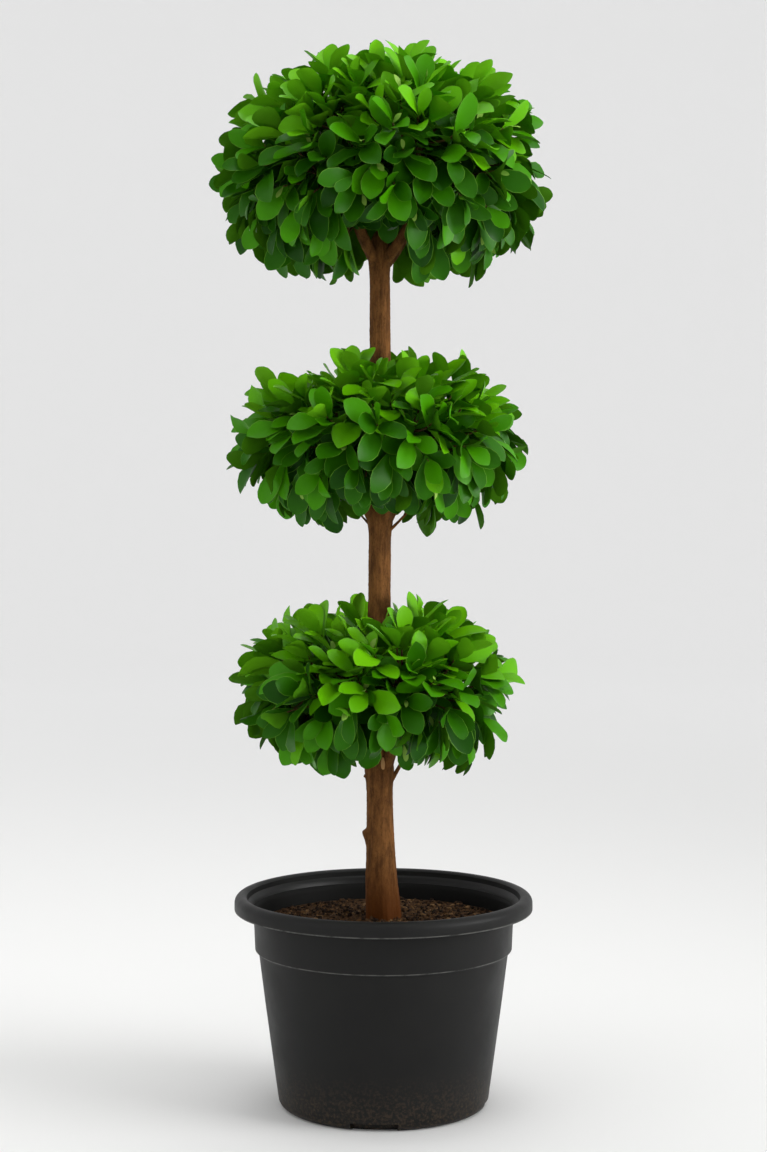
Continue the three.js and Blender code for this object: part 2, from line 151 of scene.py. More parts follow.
# materials
class Finish:
    # a Principled shader, with short ways to add the nodes of a pattern
    def __init__(self, name, colour, roughness, sheen, **sockets):
        self.material = bpy.data.materials.new(name)
        self.material.use_nodes = True
        self.tree = self.material.node_tree
        self.shader = self.tree.nodes["Principled BSDF"]
        self.shader.inputs["Base Color"].default_value = screen(*colour)
        self.shader.inputs["Roughness"].default_value = roughness
        self.shader.inputs["Specular IOR Level"].default_value = sheen
        for socket, value in sockets.items():
            self.shader.inputs[socket.replace("_", " ")].default_value = value
        self.material.diffuse_color = screen(*colour)

    def node(self, kind, **settings):
        made = self.tree.nodes.new(kind)
        for key, value in settings.items():
            setattr(made, key, value)
        return made

    def link(self, source, target):
        self.tree.links.new(source, target)

    # Object coordinates, stretched by scale
    def place(self, scale=(1, 1, 1)):
        coords = self.node("ShaderNodeTexCoord")
        mapping = self.node("ShaderNodeMapping")
        mapping.inputs["Scale"].default_value = scale
        self.link(coords.outputs["Object"], mapping.inputs["Vector"])
        return mapping.outputs["Vector"]

    def noise(self, scale, detail=4.0, stretch=(1, 1, 1), rough=0.6):
        made = self.node("ShaderNodeTexNoise")
        made.inputs["Scale"].default_value = scale
        made.inputs["Detail"].default_value = detail
        made.inputs["Roughness"].default_value = rough
        self.link(self.place(stretch), made.inputs["Vector"])
        return made.outputs["Fac"]

    # value read from low to high as start to end, eased at both
    def ranged(self, value, low, high, start=0.0, end=1.0):
        made = self.node("ShaderNodeMapRange", interpolation_type="SMOOTHSTEP")
        for socket, number in zip(("From Min", "From Max", "To Min", "To Max"), (low, high, start, end)):
            made.inputs[socket].default_value = number
        self.link(value, made.inputs["Value"])
        return made.outputs["Result"]

    def height(self):
        split = self.node("ShaderNodeSeparateXYZ")
        self.link(self.place(), split.inputs["Vector"])
        return split.outputs["Z"]

    def times(self, first, second):
        made = self.node("ShaderNodeMath", operation="MULTIPLY")
        self.link(first, made.inputs[0])
        self.link(second, made.inputs[1])
        return made.outputs["Value"]

    # share of the way from one colour to the other; either may be a socket
    def mixed(self, share, first, second):
        made = self.node("ShaderNodeMix", data_type="RGBA")
        self.link(share, made.inputs[0])
        for socket, colour in ((made.inputs[6], first), (made.inputs[7], second)):
            if isinstance(colour, tuple):
                socket.default_value = screen(*colour)
            else:
                self.link(colour, socket)
        return made.outputs[2]

    def paint(self, colour):
        self.link(colour, self.shader.inputs["Base Color"])

    def gloss(self, value, low, high):
        self.link(self.ranged(value, 0.3, 0.7, low, high), self.shader.inputs["Roughness"])

    def bump(self, value, distance, strength=1.0):
        made = self.node("ShaderNodeBump")
        made.inputs["Distance"].default_value = distance
        made.inputs["Strength"].default_value = strength
        self.link(value, made.inputs["Height"])
        self.link(made.outputs["Normal"], self.shader.inputs["Normal"])


# black nursery plastic: a fine moulded grain, pale lines at the lip's edge and the step painted on as
# highlights, and dust near the foot
def plasticFinish():
    made = Finish("nursery plastic", (15, 15, 14), 0.5, 0.22)
    height = made.height()
    cloud = made.noise(14, 5)
    body = made.mixed(made.ranged(cloud, 0.35, 0.7), (12, 12, 11), (17, 17, 16))
    grit = made.noise(240, 3, rough=0.7)
    dust = made.times(made.ranged(height, 0.085, 0.004), made.ranged(grit, 0.42, 0.72))
    dustAndHighlights = made.mixed(dust, body, (60, 48, 34))
    # noise that breaks up the painted highlight lines
    highlightBreak = made.noise(60, 3)
    edges = made.ranged(highlightBreak, 0.25, 0.6)
    # heights of the step and of the lip's edge, where pale lines are painted as highlights, in metres
    for low, high in ((0.2105, 0.2128), (0.2638, 0.2662)):
        middle = (low + high) / 2
        rise = made.ranged(height, low, middle)
        fall = made.ranged(height, high, middle)
        # a painted highlight line, pale where the noise allows
        band = made.times(made.times(rise, fall), edges)
        dustAndHighlights = made.mixed(band, dustAndHighlights, (92, 92, 89))
    made.paint(dustAndHighlights)
    made.gloss(cloud, 0.44, 0.56)
    made.bump(made.noise(700, 2), 0.00012, 0.5)
    return made.material


# damp peat: one grain that both colours and roughens it
def soilFinish():
    made = Finish("potting soil", (42, 30, 18), 0.95, 0.15)
    grain = made.noise(260, 6, rough=0.75)
    made.paint(made.mixed(made.ranged(grain, 0.36, 0.68), (32, 19, 7), (88, 61, 32)))
    made.bump(grain, 0.002, 0.8)
    return made.material


# bark: grain drawn out up the stem, dark flecks, and a warmer foot where soil has stained it
def barkFinish():
    made = Finish("ficus bark", (90, 60, 36), 0.82, 0.12)
    grain = made.noise(120, 6, stretch=(1, 1, 0.26), rough=0.7)
    fleck = made.noise(400, 4, stretch=(1, 1, 0.55), rough=0.75)
    wood = made.mixed(made.ranged(grain, 0.3, 0.72), (74, 46, 20), (127, 84, 43))
    flecked = made.mixed(made.ranged(fleck, 0.5, 0.7, 0.0, 0.6), wood, (52, 31, 13))
    foot = made.ranged(made.height(), 0.345, 0.255, 0.0, 0.9)
    made.paint(made.mixed(foot, flecked, (74, 35, 0)))
    made.bump(fleck, 0.0009, 0.55)
    return made.material


# leaf tints from the shaded heart of a tier to its youngest shoots, plain colours dealt out by spray, the
# darker ones as painted shade and the lighter ones as painted light
leafTints = {
    "deep": (23, 70, 0),
    "dark": (38, 94, 0),
    "green": (60, 130, 0),
    "bright": (88, 160, 3),
    "lime": (100, 172, 8),
    "under": (66, 120, 10),
    # pale rims along the leaf borders: a painted highlight
    "edge": (90, 142, 40),
    "underLit": (96, 162, 20),
    "bud": (140, 180, 76),
}


# a plain material for each tint, duller on the shaded undersides
def leafFinishes():
    made = []
    for name, colour in leafTints.items():
        roughness = 0.6 if name == "under" else 0.4
        made.append(Finish("leaf " + name, colour, roughness, 0.11).material)
    return made


plastic = plasticFinish()
# the inside below the lip: darker plastic, a painted shade
shadedPlastic = Finish("shaded inside plastic", (19, 19, 18), 0.6, 0.06).material
soilDark = soilFinish()
bark = barkFinish()
leafColours = leafFinishes()
tintNames = list(leafTints)
twigBark = Finish("young bark", (84, 66, 34), 0.8, 0.25).material
cutWood = Finish("pruned wood", (176, 134, 88), 0.85, 0.2).material
crumbColours = [
    Finish("peat crumb", (30, 19, 10), 0.95, 0.15).material,
    Finish("brown crumb", (58, 40, 24), 0.95, 0.15).material,
    Finish("wood chip", (104, 78, 50), 0.9, 0.15).material,
]
print("finishes made")

# pot
potSizes = {
    "height": 284,
    "rimRadius": 200,
    "crestRadius": 190,
    "lipDepth": 20,
    "lipRounding": (10, 7),  # outside and inside
    "bandTop": 262,
    "bandTopRadius": 175,
    "bandMiddle": 237,
    "bandFoot": 212,
    "bandFootRadius": 172.5,
    "wallTop": 202,
    "wallTopRadius": 167.5,
    "wallRings": (75, 140),  # heights of two more rings up the wall
    "wallFootRadius": 142,
    "cornerRadius": 12,
    "edge": 1.3,  # radius of the small roundings
    "footRing": 120,  # inner radius of the ring that it stands on
    "footHeight": 9,
    "eye": 4,  # radius where underside and floor close to the axis
    "wall": 3.2,
    "floor": 4.2,
    "sides": 192,
    "notches": 4,
    "notchWidth": 58,
    "notchHeight": 10.5,
    "notchDepth": 14,
    "notchTurn": -95,
    "notchFlank": 0.002,  # half the turn, in radians, that the side of a notch takes
    "shadeFrom": 4,  # rings from the crest in to where the inside is painted darker, as painted shade
    "sharp": 50,  # edges that turn by more degrees stay crisp
}


# points on an arc about a middle, from one angle to another in degrees
def arc(middle, radius, start, end, steps):
    turn = np.radians(np.linspace(start, end, steps))
    return np.stack([middle[0] + radius * np.cos(turn), middle[1] + radius * np.sin(turn)], -1)


# the wall's section, from the middle of the underside out, up, over the lip and down the inside
def potSection(s):
    wall, edge, ring, base = s["wall"], s["edge"], s["footRing"], s["footHeight"]
    top, step, band = s["wallTopRadius"], s["bandFoot"], s["bandTop"]
    rim, skirt, under = s["rimRadius"], s["height"] - s["lipDepth"], s["height"] - wall
    foot = s["wallFootRadius"] - s["cornerRadius"]
    notchEnd = s["wallFootRadius"] - s["notchDepth"]
    slope = (top - s["wallFootRadius"]) / (s["wallTop"] - s["cornerRadius"])
    inner, innerFoot = s["bandTopRadius"] - wall, s["wallFootRadius"] - wall
    floor = base + s["floor"]
    outside, inside = s["lipRounding"]
    runs = [
        # underside, foot ring and where the notches end
        [[s["eye"], base], [ring - 1, base], [ring, base - 1], [ring, 0.8], [ring + 0.8, 0]],
        [[notchEnd - 0.3, 0], [notchEnd, 0], [foot - 0.6, 0]],
        # corner, wall and the step under the band
        arc((foot, s["cornerRadius"]), s["cornerRadius"], -88, 0, 9),
        [[s["wallFootRadius"] + slope * (z - s["cornerRadius"]), z] for z in s["wallRings"]],
        [[top, s["wallTop"] + 4.5], [top + 0.5, step - 2.6], [top + 2.2, step - 1.2]],
        arc((s["bandFootRadius"] - edge, step), edge, -85, 0, 5),
        # band, hollow under the lip and the lip itself
        [[s["bandFootRadius"] + 1, s["bandMiddle"]], [s["bandTopRadius"], band]],
        arc((s["crestRadius"] + 1, band), s["crestRadius"] - s["bandTopRadius"] + 1, 176, 96, 8),
        [[rim - 5.5, under - 3], [rim - wall, under - 8], [rim - wall, skirt + edge]],
        arc((rim - 0.5 * wall, skirt + edge), 0.5 * wall, 190, 350, 7),
        [[rim + 0.05, skirt + 5], [rim, skirt + 9]],
        arc((rim - outside, s["height"] - outside), outside, 8, 90, 9),
        arc((s["crestRadius"] - 0.5, s["height"] - inside), inside, 96, 158, 6),
        # inside, down to the floor
        [[inner + 9, band + 9], [inner + 4.5, band + 4.6], [inner + 1, band + 1]],
        [[inner - 0.4, band - 3], [inner - 1.6, step + 22]],
        [[s["bandFootRadius"] - wall, step], [top - wall, s["wallTop"]]],
        [[innerFoot, floor + 2], [innerFoot - 3, floor], [s["eye"], floor]],
    ]
    return np.concatenate([np.asarray(run, float) for run in runs])


# the section turned round the axis; in a notch the outside of the foot is lifted to the notch's ceiling
def buildPot(s):
    section = potSection(s)
    radius, height = section[:, :1], section[:, 1:]
    half = math.asin(0.5 * s["notchWidth"] / (s["wallFootRadius"] - s["cornerRadius"]))
    middles = np.radians(s["notchTurn"]) + np.arange(s["notches"]) * 2 * math.pi / s["notches"]
    flanks = np.array([-half, -half, half, half]) + s["notchFlank"] * np.array([-1, 1, -1, 1])
    sides = np.mod(middles[:, None] + flanks, 2 * math.pi).ravel()
    turns = np.sort(np.concatenate([evenTurns(s["sides"]), sides]))
    notched = np.abs(wrapped(turns[:, None] - middles)).min(axis=1) < half
    outside = np.arange(len(section))[:, None] < len(section) // 2
    beyond = radius > s["wallFootRadius"] - s["notchDepth"] - 0.1
    lifted = np.where(notched & outside & beyond, np.maximum(height, s["notchHeight"]), height)
    points = turnedPoints(radius, lifted, turns)
    faces = tubeFaces(len(section), len(turns))
    strip = np.repeat(np.arange(len(section) - 1), len(turns))
    # faces inside the pot below the lip take the darker plastic: painted shade
    shadedInside = strip > int(np.argmax(height)) + s["shadeFrom"]
    dealt = np.concatenate([shadedInside, np.repeat([False, True], len(turns))])
    finishes = [plastic, shadedPlastic]
    newPiece("nursery_pot", points, faces, finishes, "pot_plastic", ["pot"], dealt, s["sharp"])


buildPot(potSizes)
print("pot made")

# soil
soilSizes = {
    "level": 252,
    "edgeLevel": 244,
    "radius": 170.2,
    "depth": 16,
    "rings": 70,
    "sides": 220,
    "relief": 1.5,
    "clods": 60,  # waves that add up to the clods
    "clodLengths": (5, 26),
    "crumbs": 2600,
    "crumbSizes": (1.2, 3.6),
    "crumbShares": (0.5, 0.38, 0.12),  # peat, brown crumbs and wood chips
    "chipStretch": (1.7, 1.0, 0.5),
    "crumbEdge": 4,  # kept free beside the pot
    "seed": 5,
}


# height of the mound at a point: a low cosine hump, with clods added as a sum of waves
def soilHeight(s, x, y):
    rng = np.random.default_rng(s["seed"])
    rate = 2 * math.pi / rng.uniform(*s["clodLengths"], s["clods"])
    turn = rng.uniform(0, 2 * math.pi, s["clods"])
    clods = ripple(x, y, rate * np.cos(turn), rate * np.sin(turn), s["seed"] + 1)
    share = np.clip(np.hypot(x, y) / s["radius"], 0, 1)
    hump = s["edgeLevel"] + (s["level"] - s["edgeLevel"]) * (0.5 + 0.5 * np.cos(math.pi * share))
    return hump + s["relief"] * clods * np.clip(8 * (1 - share), 0, 1)


# corners and faces of an icosahedron of radius 1: a face joins three corners that are each other's neighbours
def icosahedron():
    gold = (1 + math.sqrt(5)) / 2
    ends = [(a, b) for a in (-1, 1) for b in (-gold, gold)]
    corners = [(0, a, b) for a, b in ends] + [(a, b, 0) for a, b in ends] + [(b, 0, a) for a, b in ends]
    corners = np.array(corners) / math.hypot(1, gold)
    gaps = np.linalg.norm(corners[:, None] - corners, axis=-1)
    near = (gaps > 0) & (gaps < 1.1)
    i, j, k = np.nonzero(near[:, :, None] & near[:, None] & near)
    faces = np.stack([i, j, k], -1)[(i > j) & (j > k)]
    inward = np.linalg.det(corners[faces]) < 0
    faces[inward] = faces[inward, ::-1]
    return corners, faces


# lumps: an icosahedron for each crumb, stretched three ways, turned and sunk a little into the mound
def buildCrumbs(s):
    rng = np.random.default_rng(s["seed"] + 2)
    count = s["crumbs"]
    corners, faces = icosahedron()
    span = np.sqrt(rng.uniform(0, 1, count)) * (s["radius"] - s["crumbEdge"])
    turn = rng.uniform(0, 2 * math.pi, count)
    x, y = span * np.cos(turn), span * np.sin(turn)
    small, large = s["crumbSizes"]
    size = small + (large - small) * rng.uniform(0, 1, count) ** 2.5
    kind = rng.choice(3, count, p=s["crumbShares"])
    stretch = rng.uniform(0.6, 1.3, (count, 1, 3))
    stretch[kind == 2] *= s["chipStretch"]
    lumps = corners * stretch * size[:, None, None] * rng.uniform(0.8, 1.15, (count, len(corners), 1))
    spin = rng.uniform(0, 2 * math.pi, (count, 1))
    across = lumps[..., 0] * np.cos(spin) - lumps[..., 1] * np.sin(spin)
    along = lumps[..., 0] * np.sin(spin) + lumps[..., 1] * np.cos(spin)
    base = np.stack([x, y, soilHeight(s, x, y) + 0.25 * size], -1)[:, None]
    points = base + np.stack([across, along, lumps[..., 2]], -1)
    allFaces = (faces + len(corners) * np.arange(count)[:, None, None]).reshape(-1, 3)
    dealt = np.repeat(kind, len(faces))
    newPiece("soil_crumbs", points.reshape(-1, 3), [allFaces], crumbColours, "potting_soil", dealt=dealt)


# a closed disc: up its side, then in over the mound, whose height is soilHeight
def buildSoil(s):
    turns = evenTurns(s["sides"])
    top = np.linspace(s["radius"], 1.5, s["rings"])
    radius = np.concatenate([[2, s["radius"] - 2], top])[:, None]
    height = soilHeight(s, radius * np.cos(turns), radius * np.sin(turns))
    height[:2] = s["edgeLevel"] - s["depth"]
    points = turnedPoints(radius, height, turns)
    newPiece("soil_mound", points, tubeFaces(len(radius), len(turns)), [soilDark], "potting_soil", ["soil"])
    buildCrumbs(s)


buildSoil(soilSizes)
print("soil made")

# tiers, with the outlines of the solids
tiers = [
    {
        "name": "low",
        "axis": -7,
        "equator": 552,
        "radius": 199,
        "rise": 132,
        "drop": 108,
        "shoulder": 2.5,  # power of the outline over the equator
        "hollow": 50,  # radius of the space for the boughs
        "whorl": 452,
        "turn": 40,
        # heights and widths that are kept free of leaves on each side of the trunk
        "parting": {"left": ((455, 463), (31, 31)), "right": ((470, 487), (26, 24))},
        "crest": 0.12,  # how much further out the tips on its top may stand
        "bright": 0.35,  # how much lighter its upper leaves are painted, as painted light
    },
    {
        "name": "middle",
        "axis": -4,
        "equator": 886,
        "radius": 204,
        "rise": 133,
        "drop": 118,
        "shoulder": 2.3,
        "hollow": 50,
        "whorl": 790,
        "turn": 30,
        "parting": {"left": ((789, 798), (25, 23)), "right": ((789, 798), (25, 23))},
        "crest": 0.02,
        "bright": 0.3,
    },
    {
        "name": "top",
        "axis": 0,
        "equator": 1232,
        "radius": 233,
        "rise": 188,
        "drop": 140,
        "shoulder": 2.15,
        "hollow": 68,
        "whorl": 1136,
        "turn": 45,
        "parting": {"left": ((1137, 1160), (23, 44)), "right": ((1137, 1160), (18, 40))},
        "crest": -0.16,
        "bright": 0.15,
    },
]

# trunk and boughs
trunkSizes = {
    "foot": 246,  # a little under the soil
    "ground": 252,
    "tip": 1170,
    "lean": -5,
    "footSwing": 3.5,
    "sway": 1,
    "swayLength": 120,
    "taper": ((252, 450, 690, 1110, 1153), (18.6, 17.3, 14.8, 13.2, 12.4)),  # heights and radii
    "flare": 5,
    "flareHeight": 78,
    "collar": 2.6,
    "collarHeight": 17,
    "dome": 26,
    "rows": 520,
    "sides": 96,
    "grain": 0.34,  # depth of the drawn-out ridges
    "fleck": 0.16,
    "lobes": 0.05,  # share of the radius that the long flutes take
    "fluteTwist": (140, 95),  # rise over which the two kinds of flute turn by a radian
    "toes": 5,
    "toeHeight": 30,
    "seed": 31,
}
# a pruned shoot, grown over
knot = {"at": 368, "azimuth": 188, "height": 6.5, "turn": 0.3, "over": 3.5, "under": 13}
# bare side shoots
snags = [
    {"at": 413, "azimuth": 355, "rise": 59, "reach": 24, "radius": 4.5, "tipRadius": 2.2},
    {"at": 430, "azimuth": 175, "rise": 35, "reach": 2.5, "radius": 4, "tipRadius": 3},
    {"at": 760, "azimuth": 345, "rise": 44, "reach": 30, "radius": 2.6, "tipRadius": 1.3},
    {"at": 766, "azimuth": 170, "rise": 46, "reach": 16, "radius": 2.2, "tipRadius": 1.2},
]
snagBark = {"sides": 20, "steps": 16, "grain": 0.22, "fleck": 0.12, "seed": 60}
boughSizes = {
    "count": 4,  # in each whorl
    "radius": 8.5,
    "tipRadius": 5.5,
    "startBelow": 16,
    "stagger": 6,
    "bend": (0.44, 0.3),  # shares of the hollow and of startBelow
    "endBelow": 0.25,  # share of the tier's drop
    "peg": 9,
    "sides": 36,
    "steps": 44,
    "grain": 0.3,
    "fleck": 0.14,
    "seed": 47,
}
# waves of the bark: how many, their turns round a limb, and their spread of rates along it
barkWaves = {"count": 26, "ridges": (6, 34), "ridgeRate": 0.05, "flecks": (4, 44), "fleckRate": 0.7}
# a pale sliver of cut wood
scarSizes = {
    "height": 462,
    "azimuth": -76,
    "half": 9,
    "width": 3,
    "depth": 1.2,
    "proud": 0.9,
    "rows": 13,
    "sides": 12,
}


# middle of the trunk at a height: a lean, a swing at the foot and a slow sway
def trunkPoint(h):
    t = trunkSizes
    swing = t["footSwing"] * np.exp((t["ground"] - h) / t["flareHeight"])
    x = t["lean"] + swing + t["sway"] * np.sin(h / t["swayLength"])
    return np.stack([x, t["sway"] * np.cos(h / t["swayLength"]), h + 0 * x], -1)


# radius at a height: an even taper, a root flare and a collar at each whorl
def trunkRadius(h):
    t = trunkSizes
    collars = sum(bell(h, tier["whorl"], t["collarHeight"]) for tier in tiers)
    flare = t["flare"] * bell(h, t["ground"], t["flareHeight"])
    return np.interp(h, *t["taper"]) + flare + t["collar"] * collars


# bark relief in mm round a limb (angle) and along it: long ridges of whole waves round, and small flecks
def barkRelief(angle, along, grain, fleck, seed):
    rng = np.random.default_rng(seed)
    b = barkWaves
    total = 0
    for depth, turns, rate in ((grain, b["ridges"], b["ridgeRate"]), (fleck, b["flecks"], b["fleckRate"])):
        seed += 1
        whole, slow = rng.integers(*turns, b["count"]), rng.normal(0, rate, b["count"])
        total = total + depth * ripple(angle, along, whole, slow, seed)
    return total


# limbs on quadratic curves, with a round section square to each, and with bark relief where a seed is given
def curvedLimbs(root, bend, end, limb, seed=None):
    sides, steps = limb["sides"], limb["steps"]
    t = np.linspace(0, 1, steps)[None, :, None]
    middle = curvePoint(t, root[:, None], bend[:, None], end[:, None])
    way = unit(2 * (1 - t) * (bend - root)[:, None] + 2 * t * (end - bend)[:, None])
    plane = np.cross(bend - root, end - bend)
    flat = np.linalg.norm(plane, axis=-1, keepdims=True) < 1e-6
    plane = unit(np.where(flat, np.cross(end - root, [0.31, 0.52, 0.79]), plane))[:, None]
    across = unit(np.cross(plane, way))
    other = np.cross(way, across)
    angle = evenTurns(sides)
    size = limb["radius"] + (limb["tipRadius"] - limb["radius"]) * t
    size = np.broadcast_to(size, (len(root), steps, sides))
    if seed is not None:
        length = np.linalg.norm(end - root, axis=-1).mean()
        size = size + barkRelief(angle, length * t, limb["grain"], limb["fleck"], seed)
    ring = across[:, :, None] * np.cos(angle)[:, None] + other[:, :, None] * np.sin(angle)[:, None]
    rings = middle[:, :, None] + ring * size[..., None]
    ends = np.stack([middle[:, 0], middle[:, -1] + way[:, -1] * 0.35 * size[:, -1, :1]], 1)
    points = np.concatenate([rings.reshape(len(root), -1, 3), ends], 1)
    return points.reshape(-1, 3), tubeFaces(steps, sides, len(root))


# a direction from an azimuth and a rise, in degrees
def heading(azimuth, rise=0.0):
    turn, lift = np.radians(azimuth), np.radians(rise)
    return np.stack([np.cos(lift) * np.cos(turn), np.cos(lift) * np.sin(turn), np.sin(lift) + 0 * turn], -1)


# several sets of points and faces as one
def joined(parts):
    points = np.concatenate([p for p, _ in parts])
    shift = np.cumsum([0] + [len(p) for p, _ in parts[:-1]])
    kinds = range(len(parts[0][1]))
    faces = [np.concatenate([f[kind] + add for (_, f), add in zip(parts, shift)]) for kind in kinds]
    return points, faces


# upright rings about trunkPoint with radius trunkRadius, flutes that widen at the foot, and bark relief
def buildTrunk(t):
    h = np.linspace(t["foot"], t["tip"], t["rows"])[:, None]
    angle = evenTurns(t["sides"])
    slow, quick = t["fluteTwist"]
    flutes = 0.6 * np.cos(2 * angle + h / slow) + 0.4 * np.cos(3 * angle - h / quick + 1)
    toes = bell(h, t["ground"], t["toeHeight"]) * np.cos(t["toes"] * angle + 0.6)
    radius = trunkRadius(h) * (1 + t["lobes"] * (0.5 * flutes + 1.4 * toes))
    off = wrapped(angle - math.radians(knot["azimuth"]))
    swell = bell(h, knot["at"], np.where(h > knot["at"], knot["over"], knot["under"]))
    radius = radius + knot["height"] * swell * bell(off, 0, knot["turn"])
    radius = radius + barkRelief(angle, h, t["grain"], t["fleck"], t["seed"])
    dome = np.clip((t["tip"] - h) / t["dome"], 0, 1)
    radius = radius * np.sqrt(np.clip(1 - (1 - dome) ** 2, 0.02, 1))
    middle = trunkPoint(h[:, 0])
    ring = np.stack([np.cos(angle), np.sin(angle), 0 * angle], -1)
    rings = middle[:, None] + radius[..., None] * ring
    points = np.concatenate([rings.reshape(-1, 3), middle[[0, -1]]])
    parts = [(points, tubeFaces(t["rows"], t["sides"]))]
    for number, snag in enumerate(snags):
        root = trunkPoint(np.array([snag["at"]], float))
        way = heading(np.array([snag["azimuth"]], float), snag["rise"])
        length = trunkRadius(snag["at"]) / math.cos(math.radians(snag["rise"])) + snag["reach"]
        end = root + way * length
        bend = 0.5 * (root + end) - 0.05 * length * upward
        parts.append(curvedLimbs(root, bend, end, {**snagBark, **snag}, snagBark["seed"] + number))
    newPiece("trunk_bark", *joined(parts), [bark], "bark", ["trunk"])


# a point in a bough's own upright plane
def boughPlace(tier, index, radius, height):
    azimuth = tier["turn"] + index * 360 / boughSizes["count"]
    return np.array([tier["axis"], 0, height]) + radius * heading(azimuth)


# root, bend and end of a bough's curve, from inside the trunk at its whorl out to where its mass begins
def boughLine(tier, index):
    b = boughSizes
    root = trunkPoint(np.float64(tier["whorl"] - b["startBelow"] + b["stagger"] * (index % 2)))
    out, rise = b["bend"]
    bend = boughPlace(tier, index, out * tier["hollow"], tier["whorl"] + rise * b["startBelow"])
    end = boughPlace(tier, index, tier["hollow"] - b["peg"], tier["equator"] - b["endBelow"] * tier["drop"])
    return root, bend, end


# all the boughs as one piece, each a tapering limb along its own boughLine
def buildBoughs(b):
    lines = [boughLine(tier, index) for tier in tiers for index in range(b["count"])]
    root, bend, end = (np.array(column) for column in zip(*lines))
    points, faces = curvedLimbs(root, bend, end, b, b["seed"])
    nodes = [f"bough_{tier['name']}_{index + 1}" for tier in tiers for index in range(b["count"])]
    newPiece("boughs_bark", points, faces, [bark], "bark", nodes)


# a flat lens laid against the trunk's front: width and depth go as the root of 1 - u^2 up it
def buildScar(s):
    u = np.linspace(-1, 1, s["rows"])[:, None]
    angle = evenTurns(s["sides"])
    swell = np.sqrt(np.clip(1 - u ** 2, 0.01, 1))
    way = heading(s["azimuth"])
    side = np.cross(upward, way)
    seat = trunkPoint(np.float64(s["height"])) + way * (trunkRadius(s["height"]) + s["proud"])
    rings = seat + (s["half"] * u)[..., None] * upward
    rings = rings + (s["width"] * swell * np.cos(angle))[..., None] * side
    rings = rings - (s["depth"] * swell * np.sin(angle))[..., None] * way
    poles = seat + s["half"] * np.array([[-1.0], [1.0]]) * upward
    points = np.concatenate([rings.reshape(-1, 3), poles])
    newPiece("pruning_scar", points, tubeFaces(s["rows"], s["sides"]), [cutWood], "bark")


buildTrunk(trunkSizes)
buildBoughs(boughSizes)
buildScar(scarSizes)
print("trunk and boughs made")

# foliage
growth = {
    "skirtPower": 2.1,  # power of the outline under the equator
    "shootEnd": 151,  # polar angle of the lowest shoots
    "outer": {"low": 140, "middle": 148, "top": 214},  # shoots in the outer layer
    "inner": {"low": 100, "middle": 106, "top": 164},
    "limit": (1.1, 1.24),  # how far out a leaf's tip may stand, from the equator up and at the skirt's foot
    "outerInset": (35, 67),  # how far the shoot tips lie inside the outline
    "innerInset": (66, 124),
    "skirtInset": 0.15,  # share by which the insets lessen towards the skirt's foot
    "branches": 28,
    "branchInset": (104, 104),
    "spacing": 4.4,  # from one leaf to the next down a shoot
    "leaves": 6,
    "open": (8, 45),  # from the youngest leaf to the oldest, in degrees
    "innerOpen": 0.5,  # how much more the inner leaves open
    "length": 62,
    "width": 0.49,  # of the length
    "thickness": 0.7,
    "trunkGap": 7,
    "leaderGap": 6,  # over the trunk's tip
    "boughGap": 12,  # from the middle of a bough
    "buds": 0.4,  # share of the shoots that end in a pale bud
    "budSize": (0.45, 0.7),  # length and width of a bud, of a leaf's
    "skirtShadeTint": 0.9,  # tint of the lowest outer sprays, counted from deep up: painted shade at the skirt
    "crestLightTint": 2.8,  # how many tints lighter the highest are: painted light
    "innerShadeTint": 1.0,  # how many tints darker the inner ones are: painted shade
    "stances": 8,  # ways that a leaf may stand, of which it takes the freest
    "innerCrossings": 6,  # lines of an inner leaf that may pass through others, out of sight
    "near": 1.7,  # leaf lengths within which leaves are set against each other
    "seed": 17,
}
# changes from the top of a tier, where the polar angle is 0, to its skirt: angles in radians and values
habit = {
    "lift": ((0, 0.9, 1.6, 2.6), (0.5, 0.3, 0.0, -0.25)),  # of the shoots
    "weight": ((0, 0.8, 1.2, 1.57, 2.0, 2.7), (0.0, 0.06, 0.18, 0.38, 0.85, 1.5)),  # that leaves hang with
    "outward": ((0.8, 1.5, 2.1), (0.2, 0.4, 1.2)),  # turn of their faces out of the tier
    "roll": ((0.4, 1.2, 2.7), (0.25, 0.5, 0.52)),  # to one side or the other, so that few are seen on edge
    "shade": ((0.4, 1.0, 1.6), (0.0, 0.4, 1.0)),
}
# changes down a shoot, from the youngest leaf at 0 to the oldest at 1
ageing = {"length": ((0, 0.25, 0.6, 1), (0.72, 0.92, 1.0, 1.02)), "tint": ((0, 0.3, 1), (0.8, 0.25, -0.15))}
# how much single shoots and leaves differ
scatter = {
    "axis": 0.1,
    "open": 0.2,
    "turn": 0.7,
    "weight": 0.3,
    "roll": 0.22,
    "length": (0.84, 1.14),
    "skirt": 0.2,  # more uneven lengths at the skirt
    "reach": (0.84, 1.16),  # of a spray, as a share of the limit
    "width": (0.88, 1.12),
    "arch": (0.35, 0.25),  # mean and spread of a blade's bend, in radians
    "fold": (0.3, 0.1),
    "wave": (0, 0.6),
    "sprayTint": 0.45,
    "leafTint": 0.3,
}
# wood inside a mass
limbSizes = {
    "stem": {"radius": 5.5, "tipRadius": 3.0, "sides": 10, "steps": 14},
    "branch": {"radius": 3.0, "tipRadius": 1.8, "sides": 7, "steps": 9},
    "twig": {"radius": 1.9, "tipRadius": 1.0, "sides": 5, "steps": 7},
    "heart": (0.58, 0.05),  # where a stem ends: shares of the tier's radius and rise
    "forks": (0.25, 0.98),  # first and last branch along a stem
    "arch": 0.12,  # rise of a branch's bend, of its length
    "twigBend": 30,
}
